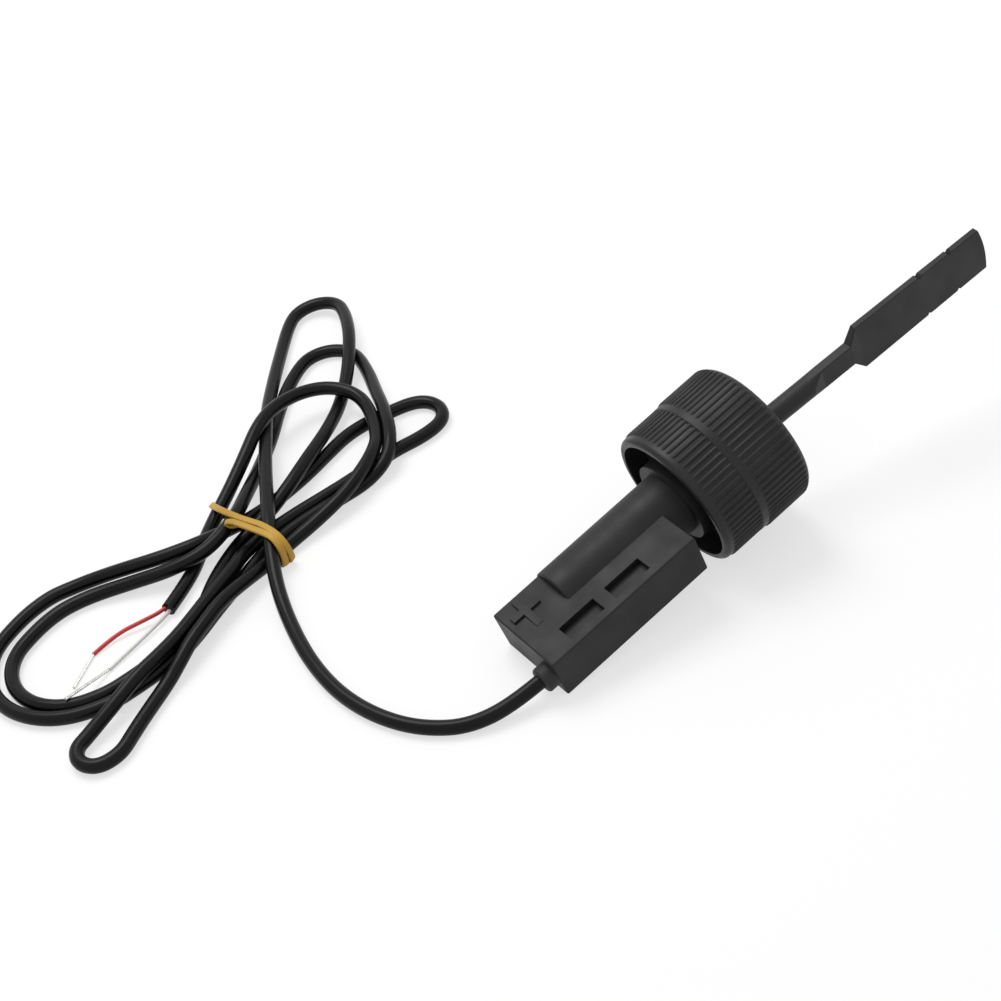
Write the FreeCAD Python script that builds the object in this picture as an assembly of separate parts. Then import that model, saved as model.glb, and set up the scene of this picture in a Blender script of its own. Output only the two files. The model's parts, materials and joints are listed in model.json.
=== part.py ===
import FreeCAD, Part
import math
import os

from FreeCAD import Placement, Rotation, Vector

# Paddle flow switch with a loose union nut and a two-core lead, lying on a table.
# Every piece is drawn in the switch's own frame: X runs along the tube axis towards the
# paddle's tip, Y towards the tube's far side, Z up out of the reed block's top face.
# The whole switch is then laid down, nose up, on its tail edge and the nut's rear rim.

# Reed block, moulded in one with the tube
block_length = 49.2
block_height = 13.0
block_top = 6.5
block_far_side = 6.3
block_edge_round = 0.5
block_end_wall = 4.0
block_front_wall = 2.4
cavity_width = 7.0
cavity_tube_wall = 1.3
cavity_side_wall = 1.5
pocket_length = 11.7
pocket_width = 5.1
pocket_depth = 2.0
pocket_gap = 3.9
pocket_start = 8.4
pocket_rim = 2.5
pocket_floor = 1.6

# Tube and collar
tube_diameter = 18.6
tube_wall = 2.6
tube_start = 15.8
tube_end_wall = 2.2
tube_end_round = 0.6
tube_bare = 6.3
collar_wall = 2.7
collar_length = 10.9

# Pivot insert: a flange, a sleeve pressed into the collar and a spigot that holds the pin
flange_clearance = 0.45
flange_thickness = 3.0
sleeve_wall = 2.6
sleeve_length = 6.0
spigot_wall = 3.7
spigot_length = 9.5
spigot_chamfer = 1.0
mouth_chamfer = 1.2
seal_width = 1.6
seal_depth = 1.1
seal_offset = 2.2
gasket_thickness = 2.0
gasket_clearance = 0.2

# Union nut for a one inch pipe thread, drawn at the thread's minor diameter
nut_diameter = 42.0
nut_step = 0.5
nut_rear_band = 12.0
nut_front_band = 18.4
nut_rear_round = 1.4
nut_front_round = 2.4
nut_rim_wall = 2.2
nut_recess_depth = 6.4
nut_lip_thickness = 3.7
thread_minor_diameter = 30.3
thread_chamfer = 1.5
lip_clearance = 0.4
lip_end_play = 0.3

# Paddle lever
pivot_ahead = 5.2
pin_diameter = 2.0
pin_recess = 0.8
hub_diameter = 7.2
hub_end_gap = 2.3
stem_diameter = 6.2
stem_round_length = 29.9
stem_taper_length = 4.5
stem_flat_length = 10.4
stem_flat_thickness = 3.0
stem_flat_width = 6.7
shoulder_length = 3.2
blade_length = 45.0
blade_root_width = 15.4
blade_tip_width = 14.2
blade_tip_bulge = 0.8
blade_thickness = 2.1
blade_corner = 0.35
blade_notch_pitch = 10.9
blade_notches = 2
notch_depth = 0.8
arm_end_gap = 2.6
arm_thickness = 3.2
arm_width = 5.0
holder_diameter = 6.2
holder_length = 10.5
arm_stop_gap = 0.35
magnet_diameter = 4.0
magnet_length = 5.6
magnet_cap_thickness = 1.2

# Reed switch and wiring inside the block
reed_from_wall = 1.4
reed_over_bias_magnet = 0.4
reed_ahead_of_magnet = 0.8
reed_glass_diameter = 2.2
reed_glass_length = 13.0
reed_glass_wall = 0.35
reed_lead_diameter = 0.6
reed_blade_thickness = 0.2
reed_blade_width = 1.0
reed_blade_overlap = 1.6
reed_blade_gap = 0.2
lead_turn_radius = 1.6
splice_length = 7.0
splice_wall = 0.3
splice_behind_glass = 6.4
bias_magnet_diameter = 3.0
bias_magnet_length = 2.0
bias_magnet_cover = 0.5
resin_recess = 0.4

# Cable and its strain relief
cable_diameter = 4.1
core_diameter = 1.2
cable_entry_gap = 0.15
cable_entry_depth = 6.2
cable_jacket_inside = 1.6
relief_wall = 1.5
relief_neck_wall = 0.75
relief_length = 3.6
relief_round = 0.9

# The lead's route over the table, after a straight stretch out of its strain relief, in the laid frame
lead_straight = 6.0
lead_route = [
    (-103.5, -12.3), (-113.3, -3.9), (-119.2, 7.5), (-122.0, 21.0),
    (-121.3, 36.0), (-118.0, 51.5), (-113.0, 66.0), (-107.5, 78.0),
]
arc_share = 0.45

# The hank: rings of cable, each laid round a small circle at the tie and a larger one at its tip,
# as (centre at the tie, radius there), (centre at the tip, radius there), cables side by side
hank_rings = [
    ((-90.0, 106.0), 9.0, (-40.0, 163.0), 13.5, 1),
    ((-80.0, 107.0), 20.0, (-56.5, 133.0), 19.5, 2),
    ((-92.0, 95.0), 7.0, (-42.5, 100.0), 10.5, 1),
    ((-116.0, 92.0), 11.0, (-164.5, 87.5), 26.5, 2),
    ((-113.0, 83.0), 6.5, (-179.0, 50.5), 9.0, 1),
]
hank_layers = 2
tie_near_end = (-103.7, 73.3)
tie_far_end = (-109.0, 112.5)
waist_width = 24.0
tie_width = 2.2
tie_thickness = 1.0
tie_bite = 0.2
tie_clearance = 0.05

# The lead's free end: the cut jacket and its two bare-ended cores
tail_route = [(-113.0, 104.5), (-118.5, 99.2), (-125.0, 92.3), (-132.2, 86.9), (-139.3, 82.6)]
tail_cores = {
    "red": [(-145.9, 81.2), (-150.6, 83.0), (-156.6, 83.6), (-162.6, 81.4)],
    "white": [(-146.2, 78.8), (-151.2, 76.9), (-156.6, 75.8), (-162.2, 75.3)],
}
core_straight = 3.0
tin_diameter = 0.9
tin_length = 11.5

# Clearances
running_clearance = 0.06
seat_clearance = 0.02
cable_clearance = 0.05

# Places worked out from the sizes above
tube_radius = tube_diameter / 2
bore_radius = tube_radius - tube_wall
sleeve_diameter = 2 * (bore_radius + sleeve_wall)
collar_diameter = sleeve_diameter + 2 * collar_wall
spigot_diameter = 2 * (bore_radius + spigot_wall)
flange_diameter = thread_minor_diameter - 2 * flange_clearance
collar_start = block_length + tube_bare
flange_rear = collar_start + collar_length
flange_front = flange_rear + flange_thickness
gasket_front = flange_front + gasket_thickness
spigot_front = flange_front + spigot_length
pivot_x = flange_front + pivot_ahead
lip_front = flange_rear - lip_end_play
lip_rear = lip_front - nut_lip_thickness
nut_rear = lip_rear - nut_recess_depth
nut_front = nut_rear + nut_rear_band + nut_front_band
nut_radius = nut_diameter / 2
block_bottom = block_top - block_height
cavity_far_side = -tube_radius - cavity_tube_wall
cavity_near_side = cavity_far_side - cavity_width
block_near_side = cavity_near_side - cavity_side_wall
cavity_top = block_top - pocket_depth - pocket_floor
cavity_front = block_length - block_front_wall
stem_round_end = pivot_x + stem_round_length
stem_flat_start = stem_round_end + stem_taper_length
shoulder_start = stem_flat_start + stem_flat_length
blade_start = shoulder_start + shoulder_length
blade_end = blade_start + blade_length
arm_end = tube_start + tube_end_wall + arm_end_gap
arm_length = pivot_x - arm_end
magnet_start = arm_end + magnet_cap_thickness
magnet_middle = magnet_start + magnet_length / 2
pin_radius = pin_diameter / 2
hub_height = 2 * (bore_radius - hub_end_gap)
holder_radius = holder_diameter / 2
rest_angle = math.degrees(math.asin((bore_radius - holder_radius - arm_stop_gap) / arm_length))
paddle_travel = 2 * rest_angle
bias_magnet_radius = bias_magnet_diameter / 2
bias_magnet_z = block_bottom + resin_recess + bias_magnet_cover + bias_magnet_radius
reed_y = cavity_far_side - reed_from_wall
reed_z = bias_magnet_z + bias_magnet_radius + reed_over_bias_magnet + reed_glass_diameter / 2
reed_glass_rear = magnet_middle + reed_ahead_of_magnet
reed_glass_front = reed_glass_rear + reed_glass_length
lead_return_y = reed_y - 2 * lead_turn_radius
splice_front = reed_glass_rear - splice_behind_glass
splice_rear = splice_front - splice_length
cable_radius = cable_diameter / 2
core_radius = core_diameter / 2
cable_entry_y = cavity_near_side + cable_entry_gap + cable_radius
cable_entry_z = block_top - cable_entry_depth
relief_bore = cable_radius + cable_clearance
relief_diameter = 2 * (relief_bore + relief_wall)
relief_neck_diameter = 2 * (relief_bore + relief_neck_wall)
hank_height = hank_layers * cable_diameter
jacket_end = block_end_wall + cable_jacket_inside

AXIS_X = Vector(1, 0, 0)
AXIS_Y = Vector(0, 1, 0)
AXIS_Z = Vector(0, 0, 1)
CENTRE = Vector(0, 0, 0)


def rounded_edges(points, radii):
    """Straight runs between the points, with a tangent arc of the given radius at each inner one."""
    edges = []
    start = points[0]
    for before, corner, after, radius in zip(points, points[1:], points[2:], radii):
        into = (corner - before).normalize()
        out = (after - corner).normalize()
        turn = into.getAngle(out)
        reach = radius * math.tan(turn / 2)
        first = corner - into * reach
        last = corner + out * reach
        inward = (out - into).normalize()
        middle = corner + inward * (radius / math.cos(turn / 2) - radius)
        if (first - start).Length > 1e-6:
            edges.append(Part.LineSegment(start, first).toShape())
        edges.append(Part.Arc(first, middle, last).toShape())
        start = last
    edges.append(Part.LineSegment(start, points[-1]).toShape())
    return edges


def tube_along(points, radii, radius):
    """A round bar of the given radius along straight runs joined by tangent arcs."""
    path = Part.Wire(rounded_edges(points, radii))
    heading = (points[1] - points[0]).normalize()
    section = Part.Wire(Part.Circle(points[0], heading, radius).toShape())
    return path.makePipeShell([section], True, False)


def turned(profile, y=0.0, z=0.0):
    """A solid of revolution about an axis along X, from (x, radius) corners."""
    corners = [Vector(x, y, z + r) for x, r in profile]
    outline = Part.makePolygon(corners + corners[:1])
    return Part.Face(outline).revolve(Vector(0, y, z), AXIS_X, 360)


def bar_x(diameter, start, end, y=0.0, z=0.0):
    return Part.makeCylinder(diameter / 2, end - start, Vector(start, y, z), AXIS_X)


def block_between(x, y, z):
    """A box from three (low, high) pairs."""
    low = Vector(x[0], y[0], z[0])
    return Part.makeBox(x[1] - x[0], y[1] - y[0], z[1] - z[0], low)


def circles_at(shape, x, diameter):
    """The circular edges of the given diameter in the plane at x."""
    found = []
    for edge in shape.Edges:
        if not isinstance(edge.Curve, Part.Circle):
            continue
        near = abs(edge.Curve.Center.x - x) < 1e-4
        if near and abs(edge.Curve.Radius - diameter / 2) < 1e-4:
            found.append(edge)
    return found


def section_at(x, thickness, width, corner):
    """A rounded rectangle across the X axis, thickness along Y and width along Z."""
    half_y = thickness / 2
    half_z = width / 2
    flat_y = half_y - corner
    flat_z = half_z - corner
    lean = corner * math.sqrt(0.5)
    edges = []
    for side_y, side_z in ((1, 1), (-1, 1), (-1, -1), (1, -1)):
        along_y = Vector(x, side_y * flat_y, side_z * half_z)
        along_z = Vector(x, side_y * half_y, side_z * flat_z)
        middle = Vector(x, side_y * (flat_y + lean), side_z * (flat_z + lean))
        ends = (along_z, along_y) if side_y == side_z else (along_y, along_z)
        edges.append(Part.Arc(ends[0], middle, ends[1]).toShape())
    sides = []
    for edge, following in zip(edges, edges[1:] + edges[:1]):
        sides.append(edge)
        last = edge.lastVertex(True).Point
        first = following.firstVertex(True).Point
        sides.append(Part.LineSegment(last, first).toShape())
    return Part.Wire(sides)


def switch_body():
    """Tube, collar and reed block, moulded in one, with the block's cavity open below."""
    block = block_between((0, block_length), (block_near_side, block_far_side), (block_bottom, block_top))
    block = block.makeFillet(block_edge_round, block.Edges)
    tube = bar_x(tube_diameter, tube_start, flange_rear)
    tube = tube.makeFillet(tube_end_round, circles_at(tube, tube_start, tube_diameter))
    collar = bar_x(collar_diameter, collar_start, flange_rear)
    body = block.fuse([tube, collar]).removeSplitter()
    cuts = [
        bar_x(2 * bore_radius, tube_start + tube_end_wall, flange_rear),
        bar_x(sleeve_diameter + 2 * seat_clearance, flange_rear - sleeve_length, flange_rear),
        bar_x(relief_neck_diameter + 2 * seat_clearance, 0, block_end_wall, cable_entry_y, cable_entry_z),
        reed_cavity(),
    ]
    near = block_near_side + pocket_rim
    for number in range(2):
        start = pocket_start + number * (pocket_length + pocket_gap)
        spans = ((start, start + pocket_length), (near, near + pocket_width))
        cuts.append(block_between(*spans, (block_top - pocket_depth, block_top)))
    return body.cut(cuts)


def reed_cavity():
    sides = (cavity_near_side, cavity_far_side)
    return block_between((block_end_wall, cavity_front), sides, (block_bottom, cavity_top))


def pivot_insert():
    """Flange, pressed-in sleeve and front spigot in one turned piece, cross-drilled for the pin."""
    sleeve_radius = sleeve_diameter / 2
    seal_front = flange_rear - seal_offset
    groove_radius = sleeve_radius - seal_depth
    sleeve_rear = flange_rear - sleeve_length
    profile = [
        (sleeve_rear, bore_radius),
        (sleeve_rear, sleeve_radius),
        (seal_front - seal_width, sleeve_radius),
        (seal_front - seal_width, groove_radius),
        (seal_front, groove_radius),
        (seal_front, sleeve_radius),
        (flange_rear, sleeve_radius),
        (flange_rear, flange_diameter / 2),
        (flange_front, flange_diameter / 2),
        (flange_front, spigot_diameter / 2),
        (spigot_front - spigot_chamfer, spigot_diameter / 2),
        (spigot_front, spigot_diameter / 2 - spigot_chamfer),
        (spigot_front, bore_radius + mouth_chamfer),
        (spigot_front - mouth_chamfer, bore_radius),
    ]
    hole = Part.makeCylinder(
        pin_radius + seat_clearance, spigot_diameter, Vector(pivot_x, 0, -spigot_diameter / 2), AXIS_Z
    )
    return turned(profile).cut(hole)


def insert_seal():
    """The sealing ring in the sleeve's groove, drawn as it sits, pressed flat."""
    front = flange_rear - seal_offset - seat_clearance
    rear = front - seal_width + 2 * seat_clearance
    outer = sleeve_diameter / 2
    inner = outer - seal_depth + seat_clearance
    return turned([(rear, inner), (rear, outer), (front, outer), (front, inner)])


def flange_gasket():
    outer = flange_diameter / 2
    inner = spigot_diameter / 2 + gasket_clearance
    profile = [(flange_front, inner), (flange_front, outer), (gasket_front, outer), (gasket_front, inner)]
    return turned(profile)


def union_nut():
    """A turned ring: rear recess, lip behind the flange, and the bore that takes the pipe thread."""
    rear_radius = nut_radius - nut_step
    recess_radius = rear_radius - nut_rim_wall
    lip_radius = collar_diameter / 2 + lip_clearance
    thread_radius = thread_minor_diameter / 2
    step_x = nut_rear + nut_rear_band
    profile = [
        (nut_rear, recess_radius),
        (nut_rear, rear_radius),
        (step_x, rear_radius),
        (step_x + nut_step, nut_radius),
        (nut_front, nut_radius),
        (nut_front, thread_radius + thread_chamfer),
        (nut_front - thread_chamfer, thread_radius),
        (lip_front, thread_radius),
        (lip_front, lip_radius),
        (lip_rear, lip_radius),
        (lip_rear, recess_radius),
    ]
    nut = turned(profile)
    nut = nut.makeFillet(nut_rear_round, circles_at(nut, nut_rear, 2 * rear_radius))
    return nut.makeFillet(nut_front_round, circles_at(nut, nut_front, nut_diameter))


def pivot_pin():
    length = spigot_diameter - 2 * pin_recess
    return Part.makeCylinder(pin_radius, length, Vector(pivot_x, 0, -length / 2), AXIS_Z)


def at_rest(shape):
    """Turns a piece of the lever about the pivot, so that its inner arm lies at the bore's far wall."""
    resting = shape.copy()
    resting.rotate(Vector(pivot_x, 0, 0), AXIS_Z, -rest_angle)
    return resting


def paddle_blade():
    """Round stem, flat stem and tapering blade as one ruled loft, notched where it is cut to length."""
    round_corner = stem_diameter * 0.49
    sections = [
        section_at(pivot_x, stem_diameter, stem_diameter, round_corner),
        section_at(stem_round_end, stem_diameter, stem_diameter, round_corner),
        section_at(stem_flat_start, stem_flat_thickness, stem_flat_width, blade_corner),
        section_at(shoulder_start, stem_flat_thickness, stem_flat_width, blade_corner),
        section_at(blade_start, blade_thickness, blade_root_width, blade_corner),
        section_at(blade_end, blade_thickness, blade_tip_width, blade_corner),
    ]
    blade = Part.makeLoft(sections, True, True)
    cuts = [blade_tip_trim()]
    for number in range(blade_notches):
        x = blade_end - (number + 1) * blade_notch_pitch
        taper = (blade_end - x) / blade_length
        width = blade_tip_width + (blade_root_width - blade_tip_width) * taper
        for side in (1, -1):
            cuts.append(groove(x, Vector(0, 0, side * width / 2), notch_depth, AXIS_Y * blade_thickness))
    return blade.cut(cuts)


def blade_tip_trim():
    """What the blade's end loses to its bulge, an arc over the tip's width."""
    half = blade_tip_width / 2
    radius = (half ** 2 + blade_tip_bulge ** 2) / (2 * blade_tip_bulge)
    centre = Vector(blade_end - radius, -blade_thickness, 0)
    keep = Part.makeCylinder(radius, 2 * blade_thickness, centre, AXIS_Y)
    spans = ((blade_end - radius / 2, blade_end + blade_tip_bulge), (-blade_thickness, blade_thickness))
    return block_between(*spans, (-blade_root_width, blade_root_width)).cut(keep)


def groove(x, surface, depth, run):
    """A right-angled V groove across the blade at x, cut into a surface given by its offset."""
    outward = Vector(surface).normalize()
    base = Vector(x, 0, 0) + surface - run / 2
    corners = [
        base - outward * depth,
        base + outward * depth + AXIS_X * 2 * depth,
        base + outward * depth - AXIS_X * 2 * depth,
    ]
    outline = Part.makePolygon(corners + corners[:1])
    return Part.Face(outline).extrude(run)


def paddle_lever():
    """Blade, stem, hub and magnet arm, moulded in one."""
    hub = Part.makeCylinder(hub_diameter / 2, hub_height, Vector(pivot_x, 0, -hub_height / 2), AXIS_Z)
    bar_end = arm_end + holder_length
    bar = block_between(
        (bar_end, pivot_x), (-arm_thickness / 2, arm_thickness / 2), (-arm_width / 2, arm_width / 2)
    )
    holder = bar_x(holder_diameter, arm_end, bar_end)
    pocket = bar_x(magnet_diameter + 2 * seat_clearance, arm_end, magnet_start + magnet_length)
    hole = Part.makeCylinder(
        pin_radius + running_clearance, hub_height, Vector(pivot_x, 0, -hub_height / 2), AXIS_Z
    )
    lever = paddle_blade().fuse([hub, bar, holder]).removeSplitter()
    return at_rest(lever.cut([pocket, hole]))


def lever_magnet():
    return at_rest(bar_x(magnet_diameter, magnet_start, magnet_start + magnet_length))


def magnet_cap():
    return at_rest(bar_x(magnet_diameter, arm_end, magnet_start))


def reed_glass():
    outer = reed_glass_diameter / 2
    inner = outer - reed_glass_wall
    lead = reed_lead_diameter / 2 + seat_clearance
    end = outer
    profile = [
        (reed_glass_rear, lead),
        (reed_glass_rear, outer),
        (reed_glass_front, outer),
        (reed_glass_front, lead),
        (reed_glass_front - end, lead),
        (reed_glass_front - end, inner),
        (reed_glass_rear + end, inner),
        (reed_glass_rear + end, lead),
    ]
    return turned(profile, reed_y, reed_z)


def reed_blade(start, end, side):
    """The flattened tip of a reed lead; the two tips overlap with a small gap between them."""
    low = reed_z + reed_blade_gap / 2 if side > 0 else reed_z - reed_blade_gap / 2 - reed_blade_thickness
    half = reed_blade_width / 2
    return block_between((start, end), (reed_y - half, reed_y + half), (low, low + reed_blade_thickness))


def reed_lead_rear():
    wire_end = reed_glass_rear + 2 * reed_glass_diameter
    wire = bar_x(reed_lead_diameter, splice_front - splice_length / 2 + core_radius, wire_end, reed_y, reed_z)
    middle = (reed_glass_rear + reed_glass_front) / 2
    return wire.fuse(reed_blade(wire_end - core_radius, middle + reed_blade_overlap / 2, 1)).removeSplitter()


def reed_lead_front():
    """The front lead turns back beside the glass, so that both leads end at the cable side."""
    wire_end = reed_glass_front - 2 * reed_glass_diameter
    turn_x = reed_glass_front + reed_lead_diameter
    points = [
        Vector(wire_end, reed_y, reed_z),
        Vector(turn_x + lead_turn_radius, reed_y, reed_z),
        Vector(turn_x + lead_turn_radius, lead_return_y, reed_z),
        Vector(splice_front - splice_length / 2 + core_radius, lead_return_y, reed_z),
    ]
    bend = lead_turn_radius * 0.98
    wire = tube_along(points, [bend, bend], reed_lead_diameter / 2)
    middle = (reed_glass_rear + reed_glass_front) / 2
    return wire.fuse(reed_blade(middle - reed_blade_overlap / 2, wire_end + core_radius, -1)).removeSplitter()


def splice_sleeve(y):
    bore = core_radius + seat_clearance
    outer = bore + splice_wall
    profile = [(splice_rear, bore), (splice_rear, outer), (splice_front, outer), (splice_front, bore)]
    return turned(profile, y, reed_z)


def inner_core(y, side):
    """A core from the cut end of the jacket to its splice, side by side with the other at the jacket."""
    start_y = cable_entry_y + side * (core_radius + seat_clearance)
    third = (splice_rear - jacket_end) / 3
    points = [
        Vector(jacket_end, start_y, cable_entry_z),
        Vector(jacket_end + third, start_y, cable_entry_z),
        Vector(splice_rear - third / 2, y, reed_z),
        Vector(splice_rear + splice_length / 2, y, reed_z),
    ]
    return tube_along(points, [third / 2, third / 2], core_radius)


def bias_magnet():
    """The second magnet, which pushes the lever's own magnet back to rest."""
    face = Vector(magnet_middle, cavity_far_side - seat_clearance, bias_magnet_z)
    return Part.makeCylinder(bias_magnet_radius, bias_magnet_length, face, -AXIS_Y)


def potting_resin(held):
    """The resin that fills the block's cavity round everything in it."""
    fill = reed_cavity()
    lid = block_between(
        (0, block_length), (block_near_side, block_far_side), (block_bottom, block_bottom + resin_recess)
    )
    jacket = bar_x(cable_diameter, 0, jacket_end, cable_entry_y, cable_entry_z)
    return fill.cut([lid, jacket] + held)


def strain_relief():
    outer = relief_diameter / 2
    neck = relief_neck_diameter / 2
    profile = [
        (-relief_length, relief_bore),
        (-relief_length, outer),
        (0, outer),
        (0, neck),
        (block_end_wall, neck),
        (block_end_wall, relief_bore),
    ]
    relief = turned(profile, cable_entry_y, cable_entry_z)
    return relief.makeFillet(relief_round, circles_at(relief, -relief_length, relief_diameter))


def swept_route(points, radius):
    """A cable along the route, with the largest arc that the two runs at each point leave room for."""
    radii = []
    for before, corner, after in zip(points, points[1:], points[2:]):
        into = corner - before
        out = after - corner
        half_turn = into.getAngle(out) / 2
        radii.append(arc_share * min(into.Length, out.Length) / math.tan(half_turn))
    cable = tube_along(points, radii, radius)
    length = sum(edge.Length for edge in rounded_edges(points, radii))
    error = cable.Volume / (math.pi * radius ** 2 * length) - 1
    print("route radii", [round(r, 1) for r in radii], "length", round(length, 1), "error", round(error, 4))
    return cable


def cable_lead(laid):
    """The lead, straight out of its strain relief down to the table, then along it into the hank."""
    start = laid.multVec(Vector(jacket_end, cable_entry_y, cable_entry_z))
    bend = laid.multVec(Vector(-relief_length - lead_straight, cable_entry_y, cable_entry_z))
    points = [start, bend] + [Vector(x, y, cable_radius) for x, y in lead_route]
    return swept_route(points, cable_radius)


def belt(first, first_radius, second, second_radius, height):
    """A flat solid with the outline of a belt round two circles."""
    first = Vector(*first, 0)
    second = Vector(*second, 0)
    along = second - first
    heading = math.atan2(along.y, along.x)
    spread = math.acos((first_radius - second_radius) / along.Length)

    def rim(centre, radius, angle):
        return centre + Vector(math.cos(angle), math.sin(angle), 0) * radius

    left = (rim(first, first_radius, heading + spread), rim(second, second_radius, heading + spread))
    right = (rim(first, first_radius, heading - spread), rim(second, second_radius, heading - spread))
    outline = Part.Wire([
        Part.LineSegment(left[0], left[1]).toShape(),
        Part.Arc(left[1], rim(second, second_radius, heading), right[1]).toShape(),
        Part.LineSegment(right[1], right[0]).toShape(),
        Part.Arc(right[0], rim(first, first_radius, heading + math.pi), left[0]).toShape(),
    ])
    return Part.Face(outline).extrude(AXIS_Z * height)


def across_tie(length, width, low, high):
    """A box along the tie's line, centred on it."""
    near = Vector(*tie_near_end, 0)
    far = Vector(*tie_far_end, 0)
    box = block_between((-length / 2, length / 2), (-width / 2, width / 2), (low, high))
    turn = math.degrees(math.atan2(far.y - near.y, far.x - near.x))
    box.Placement = Placement((near + far) / 2, Rotation(AXIS_Z, turn))
    return box


def tie_loop(clearance):
    """The rubber tie round the hank's waist, flat under it and just proud of its top."""
    span = math.dist(tie_near_end, tie_far_end)
    grow = 2 * clearance
    top = hank_height - tie_bite
    outer = across_tie(span + 2 * tie_thickness + grow, tie_width + grow, 0, top + tie_thickness + clearance)
    inner = across_tie(span - grow, tie_width + 2 * grow, tie_thickness + clearance, top - clearance)
    return outer.cut(inner)


def cable_hank():
    """The tied hank as one flat solid of its outer shape, with the eyes of its loops open."""
    span = math.dist(tie_near_end, tie_far_end)
    hank = across_tie(span, waist_width, 0, hank_height)
    rings = []
    for near, near_radius, far, far_radius, cables in hank_rings:
        wall = cables * cable_diameter
        ring = belt(near, near_radius, far, far_radius, hank_height)
        eye = belt(near, near_radius - wall, far, far_radius - wall, hank_height)
        rings.append(ring.cut(eye))
    return hank.fuse(rings).cut(tie_loop(tie_clearance)).removeSplitter()


def cable_tail():
    points = [Vector(x, y, cable_radius) for x, y in tail_route]
    return swept_route(points, cable_radius)


def core_points(colour):
    """A free core's route: out of the jacket beside the other core, then down to the table."""
    end = Vector(*tail_route[-1], cable_radius)
    heading = (end - Vector(*tail_route[-2], cable_radius)).normalize()
    side = 1 if colour == "red" else -1
    beside = heading.cross(AXIS_Z) * (side * (core_radius + seat_clearance))
    first = end + beside
    out = first + heading * core_straight
    return [first, out] + [Vector(x, y, core_radius) for x, y in tail_cores[colour]]


def tail_core(colour):
    return swept_route(core_points(colour), core_radius)


def tail_tin(colour):
    """The tinned strands past the end of a core, in line with its last run."""
    before, end = core_points(colour)[-2:]
    return Part.makeCylinder(tin_diameter / 2, tin_length, end, end - before)


def lying_down(shapes):
    """The placement that lays the switch on its tail edge and the nut's rear rim, centred over its base."""
    run = nut_rear + nut_rear_round - block_edge_round
    drop = (nut_radius - nut_step - nut_rear_round) + (block_bottom + block_edge_round)
    reach = math.hypot(run, drop)
    nose_up = math.degrees(math.atan2(drop, run) + math.asin((nut_rear_round - block_edge_round) / reach))
    tilt = Placement(CENTRE, Rotation(AXIS_Y, -nose_up))
    box = FreeCAD.BoundBox()
    for shape in shapes:
        for point in shape.tessellate(0.02)[0]:
            box.add(tilt.multVec(point))
    middle = box.Center
    return Placement(Vector(-middle.x, -middle.y, -box.ZMin), tilt.Rotation)


def main():
    os.makedirs("parts", exist_ok=True)
    parts = {
        "switch_body": switch_body(),
        "pivot_insert": pivot_insert(),
        "insert_seal": insert_seal(),
        "flange_gasket": flange_gasket(),
        "union_nut": union_nut(),
        "pivot_pin": pivot_pin(),
        "paddle_lever": paddle_lever(),
        "lever_magnet": lever_magnet(),
        "magnet_cap": magnet_cap(),
        "bias_magnet": bias_magnet(),
        "reed_glass": reed_glass(),
        "reed_lead_front": reed_lead_front(),
        "reed_lead_rear": reed_lead_rear(),
        "splice_sleeve_red": splice_sleeve(reed_y),
        "splice_sleeve_white": splice_sleeve(lead_return_y),
        "inner_core_red": inner_core(reed_y, 1),
        "inner_core_white": inner_core(lead_return_y, -1),
        "strain_relief": strain_relief(),
    }
    embedded = (
        "bias_magnet", "reed_glass", "reed_lead_front", "reed_lead_rear", "splice_sleeve_red",
        "splice_sleeve_white", "inner_core_red", "inner_core_white",
    )
    parts["potting_resin"] = potting_resin([parts[name] for name in embedded])
    laid = lying_down(parts.values())
    for shape in parts.values():
        shape.Placement = laid.multiply(shape.Placement)
    parts["cable_lead"] = cable_lead(laid)
    parts["cable_hank"] = cable_hank()
    parts["tie_band"] = tie_loop(0)
    parts["cable_tail"] = cable_tail()
    for colour in tail_cores:
        parts["core_" + colour] = tail_core(colour)
        parts["tin_" + colour] = tail_tin(colour)
    for name, shape in parts.items():
        shape.exportStep("parts/" + name + ".step")
        print(name, len(shape.Solids), shape.isValid(), round(shape.Volume, 2), shape.BoundBox)
    print("laid", laid.toMatrix().A)
    print("axis", laid.Rotation.multVec(AXIS_X), "up", laid.Rotation.multVec(AXIS_Z))
    print("pivot", laid.multVec(Vector(pivot_x, 0, 0)), "travel", paddle_travel)
    print("gasket face", laid.multVec(Vector(gasket_front, 0, 0)))


main()
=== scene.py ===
import json
import math
import bmesh
import bpy
from mathutils import Matrix, Vector


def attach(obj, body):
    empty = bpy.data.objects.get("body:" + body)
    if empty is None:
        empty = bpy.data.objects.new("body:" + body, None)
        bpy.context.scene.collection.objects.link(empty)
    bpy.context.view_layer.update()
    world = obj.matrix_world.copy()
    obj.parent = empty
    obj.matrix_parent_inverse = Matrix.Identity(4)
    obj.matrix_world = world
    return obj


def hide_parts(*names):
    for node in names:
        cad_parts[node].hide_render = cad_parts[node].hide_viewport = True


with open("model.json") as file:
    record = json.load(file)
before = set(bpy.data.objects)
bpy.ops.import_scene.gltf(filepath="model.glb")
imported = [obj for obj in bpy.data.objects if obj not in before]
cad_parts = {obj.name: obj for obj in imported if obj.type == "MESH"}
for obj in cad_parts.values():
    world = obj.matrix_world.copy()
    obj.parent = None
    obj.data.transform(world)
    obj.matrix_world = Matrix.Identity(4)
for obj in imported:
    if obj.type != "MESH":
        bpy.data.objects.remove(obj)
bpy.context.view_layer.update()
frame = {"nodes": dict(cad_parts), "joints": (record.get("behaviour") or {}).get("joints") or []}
nodes = frame["nodes"]
mm = 0.001  # sizes below are millimetres, objects are metres
print("frame loaded:", len(nodes), "nodes")

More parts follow.
